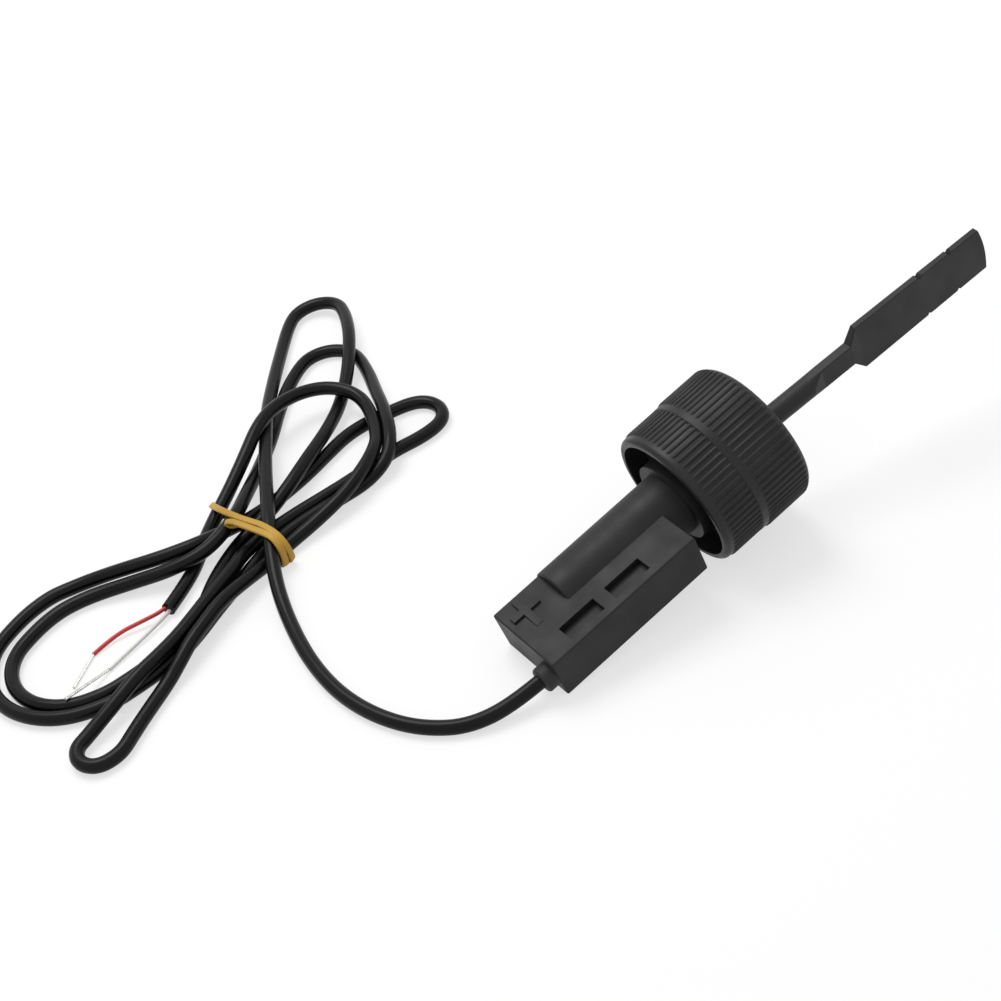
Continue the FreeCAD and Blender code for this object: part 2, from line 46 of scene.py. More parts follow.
# the switch's own axes, read from its joints: along the tube, to the far side, up out of the block
joints = {joint["name"]: joint for joint in frame["joints"]}
tubeAxis = Vector(joints["nut_spin"]["axis"])
upAxis = Vector(joints["lever_swing"]["axis"])
farAxis = upAxis.cross(tubeAxis)
pivotStation = 74.6  # the lever's pin, along the tube from the block's cable end
switchStart = Vector(joints["lever_swing"]["pos_m"]) - tubeAxis * pivotStation * mm
switchTurn = Matrix((tubeAxis, farAxis, upAxis)).transposed().to_4x4()
switchFrame = Matrix.Translation(switchStart) @ switchTurn @ Matrix.Scale(mm, 4)  # switch mm to scene metres


def addObject(name, data):
    added = bpy.data.objects.new(name, data)
    bpy.context.scene.collection.objects.link(added)
    return added


# camera, floor and light

view = {
    "place": (-254.1, -323.43, 365.33),
    "right": (0.79656, -0.5854, -0.15095),
    "forward": (0.36837, 0.66798, -0.64662),
    "lens": 71.93,
    "sensor": 36.0,
}


def addCamera():
    forward = Vector(view["forward"]).normalized()
    right = Vector(view["right"]).normalized()
    turn = Matrix((right, right.cross(forward), -forward)).transposed().to_4x4()
    lensData = bpy.data.cameras.new("camera")
    lensData.lens = view["lens"]
    lensData.sensor_width = view["sensor"]
    camera = addObject("camera", lensData)
    camera.matrix_world = Matrix.Translation(Vector(view["place"]) * mm) @ turn
    bpy.context.scene.camera = camera


studio = {
    "floorSize": 6000.0,
    "floorColour": (0.9, 0.9, 0.9),   # what lights the object
    "floorSeen": (0.38, 0.38, 0.38),  # what the camera, gloss and glass see, with the lift up to white
    "floorLift": 0.64,
    "worldLight": 0.58,
    "worldSeen": 1.0,
    "keyPlace": (-60.0, 420.0, 850.0),
    "keyAim": (-60.0, 40.0, 0.0),
    "keySize": 560.0,
    "keyPower": 4.5,
}


def addNode(tree, kind, **inputs):
    node = tree.nodes.new(kind)
    for name, value in inputs.items():
        node.inputs[name].default_value = value
    return node


def addMath(tree, operation, *values):  # each value is a number or another node's output
    node = tree.nodes.new("ShaderNodeMath")
    node.operation = operation
    for socket, value in zip(node.inputs, values):
        if isinstance(value, float):
            socket.default_value = value
        else:
            tree.links.new(value, socket)
    return node.outputs[0]


def spread(tree, value, low, high, start=0.0, end=1.0):  # from start to end becomes from low to high
    node = tree.nodes.new("ShaderNodeMapRange")
    for name, limit in (("From Min", start), ("From Max", end), ("To Min", low), ("To Max", high)):
        node.inputs[name].default_value = limit
    tree.links.new(value, node.inputs["Value"])
    return node.outputs["Result"]


def backgroundRays(tree):
    path = tree.nodes.new("ShaderNodeLightPath")
    rays = path.outputs["Is Camera Ray"]
    for kind in ("Is Glossy Ray", "Is Transmission Ray"):  # gloss and glass show the white background too
        rays = addMath(tree, "MAXIMUM", rays, path.outputs[kind])
    return rays


def paperFinish():
    paper = bpy.data.materials.new("paleFloor")
    paper.use_nodes = True
    tree = paper.node_tree
    tree.nodes.clear()
    rays = backgroundRays(tree)
    shade = tree.nodes.new("ShaderNodeMix")
    shade.data_type = "RGBA"
    shade.inputs["A"].default_value = (*studio["floorColour"], 1)
    shade.inputs["B"].default_value = (*studio["floorSeen"], 1)
    diffuse = tree.nodes.new("ShaderNodeBsdfDiffuse")
    lift = tree.nodes.new("ShaderNodeEmission")
    both = tree.nodes.new("ShaderNodeAddShader")
    out = tree.nodes.new("ShaderNodeOutputMaterial")
    tree.links.new(rays, shade.inputs["Factor"])
    tree.links.new(shade.outputs["Result"], diffuse.inputs["Color"])
    tree.links.new(addMath(tree, "MULTIPLY", rays, studio["floorLift"]), lift.inputs["Strength"])
    tree.links.new(diffuse.outputs[0], both.inputs[0])
    tree.links.new(lift.outputs[0], both.inputs[1])
    tree.links.new(both.outputs[0], out.inputs["Surface"])
    return paper


def addFloor():
    size = studio["floorSize"] * mm
    floorMesh = bpy.data.meshes.new("floor")
    corners = [(-size, -size, 0), (size, -size, 0), (size, size, 0), (-size, size, 0)]
    floorMesh.from_pydata(corners, [], [(0, 1, 2, 3)])
    floorMesh.materials.append(paperFinish())
    floor = addObject("floor", floorMesh)


def addWorld():
    world = bpy.data.worlds.new("studio")
    bpy.context.scene.world = world
    world.use_nodes = True
    tree = world.node_tree
    background = tree.nodes["Background"]
    background.inputs["Color"].default_value = (1, 1, 1, 1)
    strength = spread(tree, backgroundRays(tree), studio["worldLight"], studio["worldSeen"])
    tree.links.new(strength, background.inputs["Strength"])


def addKey():
    key = bpy.data.lights.new("softKey", "AREA")
    key.shape = "DISK"
    key.size = studio["keySize"] * mm
    key.energy = studio["keyPower"]
    lamp = addObject("softKey", key)
    place = Vector(studio["keyPlace"]) * mm
    aim = Vector(studio["keyAim"]) * mm - place
    lamp.matrix_world = Matrix.Translation(place) @ aim.to_track_quat("-Z", "Y").to_matrix().to_4x4()


addCamera()
addFloor()
addWorld()
addKey()
bpy.context.scene.view_settings.view_transform = "Standard"
print("camera, floor and light set")


# finishes: dark and light tone, roughness from and to, grain as scale and depth in mm

drift = {"colourScale": 55, "colourSpan": (0.35, 0.68), "roughScale": 120, "roughSpan": (0.3, 0.7)}

plastics = {
    "housingBlack": {"dark": (0.0115, 0.0117, 0.012), "light": (0.0185, 0.0187, 0.019), "rough": (0.44, 0.58),
                     "grain": (2600, 0.035), "shine": 0.24},
    "nutBlack": {"dark": (0.01, 0.0102, 0.0105), "light": (0.016, 0.0162, 0.0165), "rough": (0.36, 0.5),
                 "grain": (2400, 0.03), "shine": 0.27},
    "leverBlack": {"dark": (0.011, 0.0112, 0.0115), "light": (0.018, 0.0182, 0.0185), "rough": (0.42, 0.56),
                   "grain": (2200, 0.035), "shine": 0.28},
    "insertBlack": {"dark": (0.016, 0.016, 0.017), "light": (0.026, 0.026, 0.027), "rough": (0.4, 0.55),
                    "grain": (2400, 0.03), "shine": 0.32},
    "sealRubber": {"dark": (0.011, 0.011, 0.011), "light": (0.018, 0.018, 0.018), "rough": (0.6, 0.75),
                   "grain": (3200, 0.02), "shine": 0.32},
    "gasketRubber": {"dark": (0.02, 0.02, 0.02), "light": (0.032, 0.032, 0.031), "rough": (0.62, 0.8),
                     "grain": (3000, 0.03), "shine": 0.32},
    "reliefRubber": {"dark": (0.011, 0.011, 0.0115), "light": (0.017, 0.017, 0.0175), "rough": (0.5, 0.62),
                     "grain": (2800, 0.03), "shine": 0.32},
    "sleeveHeatshrink": {"dark": (0.018, 0.018, 0.018), "light": (0.03, 0.03, 0.03), "rough": (0.35, 0.5),
                         "grain": (900, 0.02), "shine": 0.5},
    "pottingResin": {"dark": (0.012, 0.012, 0.013), "light": (0.02, 0.02, 0.021), "rough": (0.14, 0.26),
                     "grain": (240, 0.05), "shine": 0.5},
    "coreRed": {"dark": (0.42, 0.012, 0.016), "light": (0.56, 0.022, 0.026), "rough": (0.3, 0.42),
                "grain": (1500, 0.015), "shine": 0.5},
    "coreWhite": {"dark": (0.74, 0.73, 0.7), "light": (0.84, 0.83, 0.8), "rough": (0.32, 0.45),
                  "grain": (1500, 0.015), "shine": 0.5},
    "tieRubber": {"dark": (0.42, 0.235, 0.02), "light": (0.57, 0.345, 0.042), "rough": (0.42, 0.6),
                  "grain": (700, 0.06), "shine": 0.38},
    "cableJacket": {"dark": (0.0025, 0.0026, 0.0028), "light": (0.005, 0.0051, 0.0055), "rough": (0.22, 0.36),
                    "grain": (900, 0.012), "shine": 0.15, "colourScale": 70, "roughScale": 90},
}

metals = {
    "pinSteel": {"colour": (0.56, 0.565, 0.57), "rough": 0.28, "scale": 300, "stretch": (1, 1, 12)},
    "magnetMetal": {"colour": (0.3, 0.3, 0.31), "rough": 0.4, "scale": 250, "stretch": (1, 1, 1)},
    "reedMetal": {"colour": (0.58, 0.57, 0.55), "rough": 0.32, "scale": 320, "stretch": (12, 1, 1)},
    "tinnedCopper": {"colour": (0.78, 0.77, 0.74), "rough": 0.34, "scale": 500, "stretch": (1, 1, 1)},
}
metalGrain = {"shade": 0.82, "finer": 6, "depth": 0.01}  # the dark tone's share of the colour, and the brushing

glass = {"dark": (0.62, 0.74, 0.66), "light": (0.75, 0.86, 0.78), "rough": 0.05, "clear": 0.9, "bending": 1.5,
         "scale": 90}


def newFinish(name, roughness, metallic=0.0):
    finish = bpy.data.materials.new(name)
    finish.use_nodes = True
    shader = finish.node_tree.nodes["Principled BSDF"]
    shader.inputs["Roughness"].default_value = roughness
    shader.inputs["Metallic"].default_value = metallic
    return finish, finish.node_tree, shader


def objectNoise(tree, scale, detail, stretch=(1, 1, 1)):
    where = tree.nodes.new("ShaderNodeTexCoord")
    mapping = addNode(tree, "ShaderNodeMapping", Scale=stretch)
    noise = addNode(tree, "ShaderNodeTexNoise", Scale=scale, Detail=detail)
    tree.links.new(where.outputs["Object"], mapping.inputs["Vector"])
    tree.links.new(mapping.outputs["Vector"], noise.inputs["Vector"])
    return noise.outputs["Fac"]


def driftColour(tree, shader, scale, dark, light):
    ramp = tree.nodes.new("ShaderNodeValToRGB")
    for stop, position, colour in zip(ramp.color_ramp.elements, drift["colourSpan"], (dark, light)):
        stop.position = position
        stop.color = (*colour, 1)
    tree.links.new(objectNoise(tree, scale, detail=3.0), ramp.inputs["Fac"])
    tree.links.new(ramp.outputs["Color"], shader.inputs["Base Color"])


def driftRoughness(tree, shader, scale, low, high):
    noise = objectNoise(tree, scale, detail=4.0)
    tree.links.new(spread(tree, noise, low, high, *drift["roughSpan"]), shader.inputs["Roughness"])


def addGrain(tree, shader, scale, depth, stretch=(1, 1, 1)):
    bump = addNode(tree, "ShaderNodeBump", Strength=1.0, Distance=depth * mm)
    tree.links.new(objectNoise(tree, scale, detail=2.0, stretch=stretch), bump.inputs["Height"])
    tree.links.new(bump.outputs["Normal"], shader.inputs["Normal"])


def plasticFinish(name, look):
    finish, tree, shader = newFinish(name, sum(look["rough"]) / 2)
    shader.inputs["Specular IOR Level"].default_value = look["shine"]
    scales = {**drift, **look}
    driftColour(tree, shader, scales["colourScale"], look["dark"], look["light"])
    driftRoughness(tree, shader, scales["roughScale"], *look["rough"])
    addGrain(tree, shader, *look["grain"])
    return finish


def metalFinish(name, look):
    finish, tree, shader = newFinish(name, look["rough"], metallic=1.0)
    dark = tuple(metalGrain["shade"] * part for part in look["colour"])
    driftColour(tree, shader, look["scale"], dark, look["colour"])
    addGrain(tree, shader, look["scale"] * metalGrain["finer"], metalGrain["depth"], look["stretch"])
    return finish


def glassFinish(name):
    finish, tree, shader = newFinish(name, glass["rough"])
    shader.inputs["Transmission Weight"].default_value = glass["clear"]
    shader.inputs["IOR"].default_value = glass["bending"]
    driftColour(tree, shader, glass["scale"], glass["dark"], glass["light"])
    return finish


finishes = {name: plasticFinish(name, look) for name, look in plastics.items()}
finishes.update({name: metalFinish(name, look) for name, look in metals.items()})
finishes["reedGlass"] = glassFinish("reedGlass")

nodeFinish = {
    "switch_body": "housingBlack", "pivot_insert": "insertBlack", "insert_seal": "sealRubber",
    "flange_gasket": "gasketRubber", "union_nut": "nutBlack", "pivot_pin": "pinSteel",
    "paddle_lever": "leverBlack", "lever_magnet": "magnetMetal", "magnet_cap": "leverBlack",
    "bias_magnet": "magnetMetal", "reed_glass": "reedGlass", "reed_lead_front": "reedMetal",
    "reed_lead_rear": "reedMetal", "splice_sleeve_red": "sleeveHeatshrink",
    "splice_sleeve_white": "sleeveHeatshrink", "inner_core_red": "coreRed", "inner_core_white": "coreWhite",
    "strain_relief": "reliefRubber", "potting_resin": "pottingResin", "cable_lead": "reliefRubber",
    "cable_hank": "reliefRubber", "cable_tail": "reliefRubber", "tie_band": "tieRubber",
    "core_red": "coreRed", "core_white": "coreWhite", "tin_red": "tinnedCopper", "tin_white": "tinnedCopper",
}
for name, finishName in nodeFinish.items():
    for materialSlot in nodes[name].material_slots:
        materialSlot.material = finishes[finishName]
print("finishes on", len(nodeFinish), "nodes")


# geometry node trees

def newTree(name, sizes):
    tree = bpy.data.node_groups.new(name, "GeometryNodeTree")
    tree.interface.new_socket("Geometry", in_out="INPUT", socket_type="NodeSocketGeometry")
    tree.interface.new_socket("Geometry", in_out="OUTPUT", socket_type="NodeSocketGeometry")
    for label, value in sizes.items():
        kind = "NodeSocketInt" if isinstance(value, int) else "NodeSocketFloat"
        tree.interface.new_socket(label, in_out="INPUT", socket_type=kind)
    return tree, tree.nodes.new("NodeGroupInput"), tree.nodes.new("NodeGroupOutput")


def sweep(tree, path, profile):
    node = tree.nodes.new("GeometryNodeCurveToMesh")
    node.inputs["Fill Caps"].default_value = True
    tree.links.new(path, node.inputs["Curve"])
    tree.links.new(profile, node.inputs["Profile Curve"])
    return node.outputs[0]


def roundProfile(tree, diameter, sides):
    circle = addNode(tree, "GeometryNodeCurvePrimitiveCircle", Resolution=sides)
    tree.links.new(addMath(tree, "MULTIPLY", diameter, 0.5), circle.inputs["Radius"])
    return circle.outputs["Curve"]


def givenPath(tree, given):
    path = tree.nodes.new("GeometryNodeMeshToCurve")
    tree.links.new(given.outputs["Geometry"], path.inputs["Mesh"])
    return path.outputs[0]


def spiralPath(tree, given, steps):  # steps are for one turn
    spiral = addNode(tree, "GeometryNodeCurveSpiral", Resolution=steps)
    for socketName, size in (("Rotations", "Turns"), ("Start Radius", "Radius"), ("End Radius", "Radius"),
                             ("Height", "Rise")):
        tree.links.new(given.outputs[size], spiral.inputs[socketName])
    return spiral.outputs[0]


def turnCopies(tree, count, shape, axis):
    line = addNode(tree, "GeometryNodeMeshLine", Offset=(0, 0, 0))
    index = tree.nodes.new("GeometryNodeInputIndex")
    share = addMath(tree, "DIVIDE", index.outputs[0], count)
    turn = tree.nodes.new("ShaderNodeCombineXYZ")
    copies = tree.nodes.new("GeometryNodeInstanceOnPoints")
    tree.links.new(count, line.inputs["Count"])
    tree.links.new(addMath(tree, "MULTIPLY", share, 2 * math.pi), turn.inputs[axis])
    tree.links.new(line.outputs[0], copies.inputs["Points"])
    tree.links.new(shape, copies.inputs["Instance"])
    tree.links.new(turn.outputs[0], copies.inputs["Rotation"])
    return copies.outputs[0]


def closeTree(tree, out, shape, finishName):
    realize = tree.nodes.new("GeometryNodeRealizeInstances")
    paint = addNode(tree, "GeometryNodeSetMaterial", Material=finishes[finishName])
    tree.links.new(shape, realize.inputs[0])
    tree.links.new(realize.outputs[0], paint.inputs["Geometry"])
    tree.links.new(paint.outputs[0], out.inputs[0])


def grow(name, base, tree, sizes, smooth=True):  # what the tree makes of the base, as a plain mesh
    seed = addObject(name + "Base", base)
    modifier = seed.modifiers.new("shape", "NODES")
    modifier.node_group = tree
    for socket in tree.interface.items_tree:
        if socket.name in sizes:
            modifier[socket.identifier] = sizes[socket.name]
    grown = seed.evaluated_get(bpy.context.evaluated_depsgraph_get())
    mesh = bpy.data.meshes.new_from_object(grown)
    seed.modifiers.clear()
    bpy.data.objects.remove(seed)
    mesh.name = name
    mesh.polygons.foreach_set("use_smooth", [smooth] * len(mesh.polygons))
    return mesh


def polyLine(name, points):
    mesh = bpy.data.meshes.new(name)
    mesh.from_pydata(points, [(i, i + 1) for i in range(len(points) - 1)], [])
    return mesh


# pieces

def addPiece(name, data, finishName, body, slotName, *replaced):
    piece = addObject(name, data)
    if not data.materials:  # a grown mesh brings its own
        data.materials.append(finishes[finishName])
    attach(piece, body)
    if replaced:
        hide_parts(*replaced)
    return piece


def roundWire(name, points, diameter, roundness=4, steps=8):  # 4 sides, and 2 more for each of roundness
    wire = bpy.data.curves.new(name, "CURVE")
    wire.dimensions = "3D"
    wire.resolution_u = steps
    wire.bevel_depth = diameter / 2 * mm
    wire.bevel_resolution = roundness
    wire.use_fill_caps = True
    wire.twist_mode = "Z_UP"
    spline = wire.splines.new("NURBS")
    spline.points.add(len(points) - 1)
    for knot, point in zip(spline.points, points):
        knot.co = (*(Vector(point) * mm), 1)
    spline.order_u = 3  # the wire rounds the corners between its points
    spline.use_endpoint_u = True
    return wire


# the union nut's grip ribs: round ridges that sink into the nut at the start, and the front ones at the rim too
ribs = {
    "count": 68,
    "ridge": 1.16,
    "sides": 8,
    "sunk": 0.13,  # how far the ridge's middle lies under the nut's surface
    "dip": 0.62,   # how much deeper it lies where it fades out
    "fade": 1.1,   # and over what length
    "rear": {"radius": 20.5, "from": 57.9, "to": 68.35, "overRim": ()},
    # degrees round the rim, and the share of the dip there
    "front": {"radius": 21.0, "from": 70.1, "to": 84.0, "rim": 2.4, "overRim": ((22, 0.45), (46, 1.0))},
}


def ribLine(band):
    high = band["radius"] - ribs["sunk"]
    line = [(band["from"], 0, high - ribs["dip"]), (band["from"] + ribs["fade"], 0, high), (band["to"], 0, high)]
    for degrees, share in band["overRim"]:
        angle = math.radians(degrees)
        reach = band["rim"] - ribs["sunk"] - share * ribs["dip"]
        along = band["to"] + reach * math.sin(angle)
        line.append((along, 0, band["radius"] - band["rim"] + reach * math.cos(angle)))
    return line


def ribTree():
    sizes = {"Count": ribs["count"], "Ridge": ribs["ridge"]}
    tree, given, out = newTree("gripRibs", sizes)
    rib = sweep(tree, givenPath(tree, given), roundProfile(tree, given.outputs["Ridge"], ribs["sides"]))
    closeTree(tree, out, turnCopies(tree, given.outputs["Count"], rib, "X"), "nutBlack")
    return tree, sizes


gripTree, gripSizes = ribTree()
for bandName in ("rear", "front"):
    bandLine = polyLine("ribLine", ribLine(ribs[bandName]))
    bandMesh = grow("nut_ribs_" + bandName, bandLine, gripTree, gripSizes)
    bandMesh.transform(switchFrame)
    addPiece("nut_ribs_" + bandName, bandMesh, "nutBlack", "nut", "nut_plastic")
print("grip ribs on the nut:", 2 * ribs["count"])


# the nut's pipe thread, a ridge wound inside its bore
thread = {"start": 72.6, "pitch": 2.31, "turns": 5.5, "boreRadius": 15.15, "ridge": 1.3, "height": 0.5,
          "steps": 64, "sides": 4}


def threadTree():
    sizes = {"Turns": thread["turns"], "Radius": thread["boreRadius"] - thread["height"] + thread["ridge"] / 2,
             "Rise": thread["turns"] * thread["pitch"], "Ridge": thread["ridge"]}
    tree, given, out = newTree("pipeThread", sizes)
    upright = tree.nodes.new("GeometryNodeSetCurveNormal")
    upright.mode = "Z_UP"
    tree.links.new(spiralPath(tree, given, thread["steps"]), upright.inputs["Curve"])
    ridge = sweep(tree, upright.outputs[0], roundProfile(tree, given.outputs["Ridge"], thread["sides"]))
    closeTree(tree, out, ridge, "nutBlack")
    return tree, sizes


threadMesh = grow("nut_thread", bpy.data.meshes.new("threadBase"), *threadTree(), smooth=False)
alongTube = Matrix(((0, 0, 1, thread["start"]), (1, 0, 0, 0), (0, 1, 0, 0), (0, 0, 0, 1)))
threadMesh.transform(switchFrame @ alongTube)
addPiece("nut_thread", threadMesh, "nutBlack", "nut", "nut_plastic")
print("thread wound in the nut")


# the raised cross on top of the block; its near arm runs out into the block's top
cross = {
    "middle": (6.45, 0.0), "reach": (4.42, 4.6), "nearReach": 6.3, "bar": 2.2,
    "top": 6.5, "sunk": 0.1, "height": 0.7, "nearHeight": 0.12, "bevel": 0.1, "bevelSteps": 2,
}


def crossMesh():
    side = cross["bar"] / 2
    along, far = cross["reach"]
    near = cross["nearReach"]
    outline = [(along, -side), (along, side), (side, side), (side, far), (-side, far), (-side, side),
               (-along, side), (-along, -side), (-side, -side), (-side, -near), (side, -near), (side, -side)]
    shape = bmesh.new()
    x, y = cross["middle"]
    low = [shape.verts.new((x + u, y + v, cross["top"] - cross["sunk"])) for u, v in outline]
    raised = bmesh.ops.extrude_face_region(shape, geom=[shape.faces.new(low)])
    high = [part for part in raised["geom"] if isinstance(part, bmesh.types.BMVert)]
    for vert in high:
        nearEnd = vert.co.y < y - far
        vert.co.z = cross["top"] + cross["nearHeight" if nearEnd else "height"]
    rim = [edge for edge in shape.edges if all(vert in high for vert in edge.verts)]
    bmesh.ops.bevel(shape, geom=rim, offset=cross["bevel"], segments=cross["bevelSteps"], profile=0.5,
                    affect="EDGES")
    bmesh.ops.recalc_face_normals(shape, faces=shape.faces)
    mesh = bpy.data.meshes.new("block_cross")
    shape.to_mesh(mesh)
    shape.free()
    mesh.transform(switchFrame)
    return mesh


addPiece("block_cross", crossMesh(), "housingBlack", "housing", "body_plastic")
print("cross raised on the block")


# the lead: out of the strain relief, through the tied hank's seven turns, to the cut end
lead = {
    "diameter": 4.1,
    "length": 1482.6,
    "roundness": 5,
    "tipStep": 36,  # about the degrees between the points round a tip, in three steps or more
    "exit": (-83.21, -15.4, 5.64),
    "out": [(-74.3, -15.4, 7.84), (-89, -15.4, 4.2), (-103.1, -12.3), (-112.9, -3.9), (-118.8, 7.5),
            (-121.6, 21), (-120.9, 36), (-117.6, 51.5), (-113.4, 64.9, 3.6), (-108.5, 75.3, 6.1)],
    "end": [(-113, 103.8), (-118.1, 99.2), (-124.6, 92.3), (-131.8, 86.9), (-138.9, 82.6)],
}

# each turn leaves the tie, goes round its tip on an arc and comes back; what has no height lies on the floor
hankTurns = [
    {"out": [(-102.9, 85.1, 8.5), (-96.1, 97.7, 8.2), (-86.9, 114.2, 7.1), (-75.9, 132.2, 5.7),
             (-64.9, 147.3, 3.4), (-55.1, 159.6)],
     "tip": {"centre": (-37.6, 165.4), "radius": 8.9, "fromTo": (130, -15), "heights": (2.05, 4.6)},
     "back": [(-33.9, 150.5, 6.1), (-40.1, 140.5, 6.2), (-47.3, 131.3, 4.5), (-56, 122.2, 3.2),
              (-66.6, 112.6, 4.8), (-77.9, 104.5, 6.4), (-88.2, 98.5, 5.8), (-97.1, 95, 4), (-105.1, 93.2, 2.6)]},
    {"out": [(-112.6, 90.6), (-121, 85.2), (-126.1, 81), (-131, 76.3), (-137.5, 72.4), (-144.7, 69),
             (-151.7, 67.3), (-159.2, 66.3)],
     "tip": {"centre": (-167.2, 84.2), "radius": 17.5, "fromTo": (268, 100)},
     "back": [(-163, 104.3), (-157.2, 104.3), (-150.6, 102.9, 2.2), (-141.3, 98.4, 3.3), (-131.3, 92.6, 5.2),
              (-120.4, 89.8, 7.2)]},
    {"out": [(-108.3, 95.3, 7.9), (-99.1, 105, 5.5), (-88.6, 116, 2.6), (-78.6, 126), (-70.3, 135.5),
             (-62.1, 143.5)],
     "tip": {"centre": (-48.1, 141.3), "radius": 9.7, "fromTo": (122, -8)},
     "back": [(-41.1, 129.1, 3.1), (-45.5, 117.9, 5), (-49.8, 106, 6.7), (-54.9, 94.9, 7), (-60.8, 88.1, 5.1),
              (-69.2, 86.4, 2.5), (-80.3, 86.5), (-91.4, 86.1), (-101.6, 84.8), (-109.8, 81.7)]},
    {"out": [(-117, 78.2), (-123.3, 75.2), (-129.6, 72.1), (-136.2, 68.5), (-143, 65.3), (-150.8, 63.2),
             (-158.7, 62.3)],
     "tip": {"centre": (-166.8, 85.9), "radius": 23.2, "fromTo": (266, 102)},
     "back": [(-161.8, 111.9), (-155.4, 110.9), (-148.5, 108.2, 3), (-140.8, 103.6, 4.7), (-131.6, 98, 6.4),
              (-120.1, 95, 6.5)]},
    {"out": [(-109.9, 97.2, 3.6), (-100.1, 98.5), (-89.6, 100.5), (-79.6, 103.2), (-69.6, 107), (-62.1, 109.5),
             (-54.6, 110), (-47.6, 109.3)],
     "tip": {"centre": (-42.4, 100.5), "radius": 7.5, "fromTo": (72, -72)},
     "back": [(-47.1, 92.1), (-55.6, 92.8), (-64.1, 92), (-73.1, 91), (-82.6, 90.6), (-92.3, 90.3),
              (-102.2, 89, 2.4), (-112, 84.8, 4.3)]},
    {"out": [(-117.9, 80.1, 5.7), (-124.2, 77, 5.8), (-130.4, 73.9, 5.8), (-137, 70.4, 5.8), (-143.8, 67, 5.8),
             (-151.3, 64.1, 6), (-158.4, 61.8, 6.2), (-168.6, 58, 4.7)],
     "tip": {"centre": (-178.4, 49.4), "radius": 5.3, "fromTo": (92, 274), "heights": (2.6, 2.05)},
     "back": [(-173.4, 44.6), (-168.8, 47.8), (-162.4, 51.9), (-152.9, 57.4, 2.2), (-147.1, 60.1, 4.2),
              (-141.9, 63.1, 5.5), (-135.7, 66.3, 5.8), (-128.6, 70.1, 5.9), (-122, 72.6, 5.2), (-115.5, 75, 4.1),
              (-108.9, 77.6, 2.6)]},
    {"out": [(-100.6, 80.6, 2.2), (-90.3, 81.9, 3.3), (-79.6, 83.4, 5.3), (-70.8, 86.6, 7), (-63.8, 91.1, 7.1),
             (-58.1, 97.1, 6.3)],
     "tip": {"centre": (-65.4, 115.5), "radius": 13.3, "fromTo": (-22, 88), "heights": (6.4, 9.2)},
     "back": [(-74.8, 128, 10.3), (-83, 123.7, 10.3), (-91.9, 117.2, 7.9), (-100.9, 111.6, 4.9),
              (-108, 107.5, 2.8)]},
]
floorHeight = lead["diameter"] / 2  # the lead's middle where it lies on the floor


def onFloor(points):
    return [(*point, floorHeight)[:3] for point in points]


def tipPoints(tip):
    start, end = tip["fromTo"]
    low, high = tip.get("heights", (floorHeight, floorHeight))
    steps = max(3, round(abs(end - start) / lead["tipStep"]))
    reach = tip["radius"] / math.cos(math.radians(abs(end - start) / steps / 2))  # so the wire keeps the radius
    points = []
    for i in range(steps + 1):
        angle = math.radians(start + (end - start) * i / steps)
        x = tip["centre"][0] + reach * math.cos(angle)
        y = tip["centre"][1] + reach * math.sin(angle)
        points.append((x, y, low + (high - low) * i / steps))
    return points


def leadPoints():
    points = onFloor(lead["out"])
    for turn in hankTurns:
        points += onFloor(turn["out"]) + tipPoints(turn["tip"]) + onFloor(turn["back"])
    return points + onFloor(lead["end"])


leadWire = roundWire("signal_lead", leadPoints(), lead["diameter"], lead["roundness"])
signalLead = addPiece("signal_lead", leadWire, "cableJacket", "housing", "cable_jacket",
                      "cable_lead", "cable_hank", "cable_tail")
print("lead laid with", len(leadWire.splines[0].points), "points")


# the rubber tie: one winding right round the hank, a second one beside it that ends in a curl
tie = {
    "width": 2.0,
    "thickness": 0.9,
    "corner": 0.3,
    "cornerSteps": 2,
    "round": [(-105.4, 85.2, 10.1), (-104.2, 80.1, 10.2), (-103.7, 76, 8.7), (-103.1, 74.6, 5),
              (-102.8, 74.6, 0.85), (-104.5, 82, 0.7), (-106.4, 98, 0.7), (-107.4, 114.6, 0.9),
              (-108.9, 107.6, 5), (-109.7, 99.6, 9), (-109.1, 94.5, 10.2), (-107.5, 90, 10.1)],
    "curled": [(-109.6, 91.2, 8.8), (-111.4, 92.4, 8.6), (-112.2, 93.3, 9.9), (-110.9, 91.9, 10.5),
               (-109.7, 90, 10.1), (-108.2, 86, 10), (-106.6, 81.8, 10), (-105.6, 77.6, 10.1),
               (-105.4, 74.8, 8.2), (-105.3, 74.3, 4.6), (-105.3, 74.6, 0.65), (-106.4, 80, 0.55),
               (-107.2, 90, 0.55)],
}


def wirePath(name, points, closed):
    wire = roundWire(name, points, 0.0)
    wire.use_fill_caps = False
    wire.splines[0].use_cyclic_u = closed
    holder = bpy.data.objects.new(name, wire)
    path = bpy.data.meshes.new_from_object(holder)
    bpy.data.objects.remove(holder)
    return path


def bandTree():
    sizes = {"Width": tie["width"] * mm, "Thickness": tie["thickness"] * mm, "Corner": tie["corner"] * mm}
    tree, given, out = newTree("rubberBand", sizes)
    flat = tree.nodes.new("GeometryNodeCurvePrimitiveQuadrilateral")
    rounded = tree.nodes.new("GeometryNodeFilletCurve")
    rounded.mode = "POLY"
    rounded.inputs["Count"].default_value = tie["cornerSteps"]
    tree.links.new(given.outputs["Width"], flat.inputs["Width"])
    tree.links.new(given.outputs["Thickness"], flat.inputs["Height"])
    tree.links.new(flat.outputs[0], rounded.inputs["Curve"])
    tree.links.new(given.outputs["Corner"], rounded.inputs["Radius"])
    closeTree(tree, out, sweep(tree, givenPath(tree, given), rounded.outputs[0]), "tieRubber")
    return tree, sizes


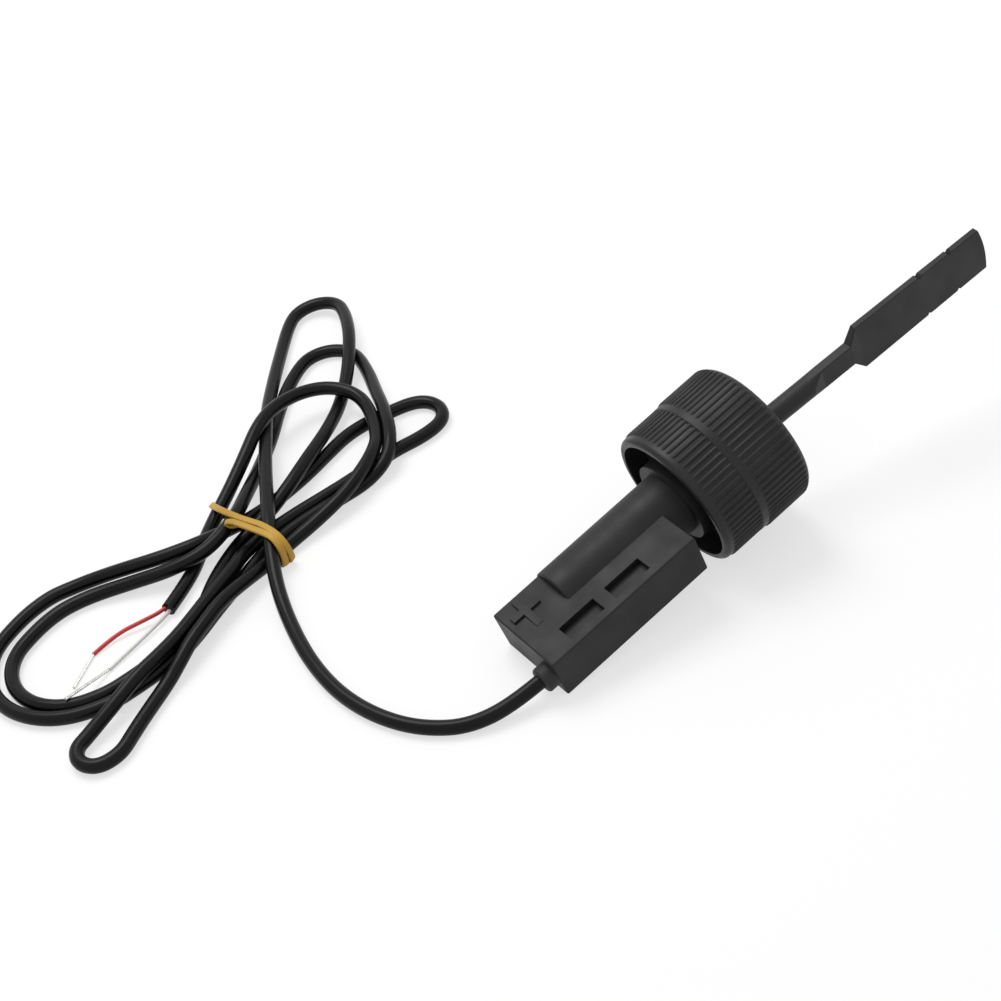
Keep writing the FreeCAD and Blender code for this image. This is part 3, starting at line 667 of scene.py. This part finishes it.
tieTree, tieSizes = bandTree()
tieRound = grow("tie_round", wirePath("tieRoundPath", tie["round"], True), tieTree, tieSizes)
tieCurled = grow("tie_curled", wirePath("tieCurledPath", tie["curled"], False), tieTree, tieSizes)
tiePieces = [addPiece("tie_round", tieRound, "tieRubber", "housing", "tie_rubber", "tie_band"),
             addPiece("tie_curled", tieCurled, "tieRubber", "housing", "tie_rubber")]
print("tie wound round the hank")


# the two cores out of the cut jacket, each with its tinned strands
cores = {
    "diameter": 1.2,
    "roundness": 3,
    "red": {"route": [(-135.9, 84.4, 2.5), (-139.9, 82.7, 2.5), (-146.4, 83.7, 2.1), (-154.6, 85.4, 1.3),
                      (-162.4, 83.6, 0.65)],
            "tinEnd": (-172.3, 76.2, 0.5)},
    "white": {"route": [(-135.5, 84.2, 1.7), (-139.1, 81.9, 1.7), (-149, 78.8, 1.2), (-156.6, 76.8, 0.8),
                        (-161.8, 75.2, 0.65)],
              "tinEnd": (-176.9, 69.4, 4.8)},
    "strands": 6, "strand": 0.32, "strandRing": 0.29, "lay": 5.5, "strandSteps": 14, "strandSides": 7,
    "tinSunk": 0.6,  # how far the strands start inside the core
}


def strandTree(length):
    sizes = {"Strands": cores["strands"], "Strand": cores["strand"], "Radius": cores["strandRing"],
             "Rise": length, "Turns": length / cores["lay"]}
    tree, given, out = newTree("twistedStrands", sizes)
    profile = roundProfile(tree, given.outputs["Strand"], cores["strandSides"])
    strand = sweep(tree, spiralPath(tree, given, cores["strandSteps"]), profile)
    closeTree(tree, out, turnCopies(tree, given.outputs["Strands"], strand, "Z"), "tinnedCopper")
    return tree, sizes


def addCore(colour, finishName):
    core = cores[colour]
    wire = roundWire("core_wire_" + colour, core["route"], cores["diameter"], cores["roundness"])
    jacket = addPiece("core_wire_" + colour, wire, finishName, "housing", "core_" + colour, "core_" + colour)
    start, end = Vector(core["route"][-1]), Vector(core["tinEnd"])
    run = end - start
    sunk = cores["tinSunk"]
    mesh = grow("tin_strands_" + colour, bpy.data.meshes.new("tinBase"), *strandTree(run.length + sunk))
    aim = run.to_track_quat("Z", "Y").to_matrix().to_4x4()
    mesh.transform(Matrix.Scale(mm, 4) @ Matrix.Translation(start - run.normalized() * sunk) @ aim)
    tin = addPiece("tin_strands_" + colour, mesh, "tinnedCopper", "housing", "tinned_copper", "tin_" + colour)
    return [jacket, tin]


corePieces = addCore("red", "coreRed") + addCore("white", "coreWhite")
print("cores and tinned ends laid out")
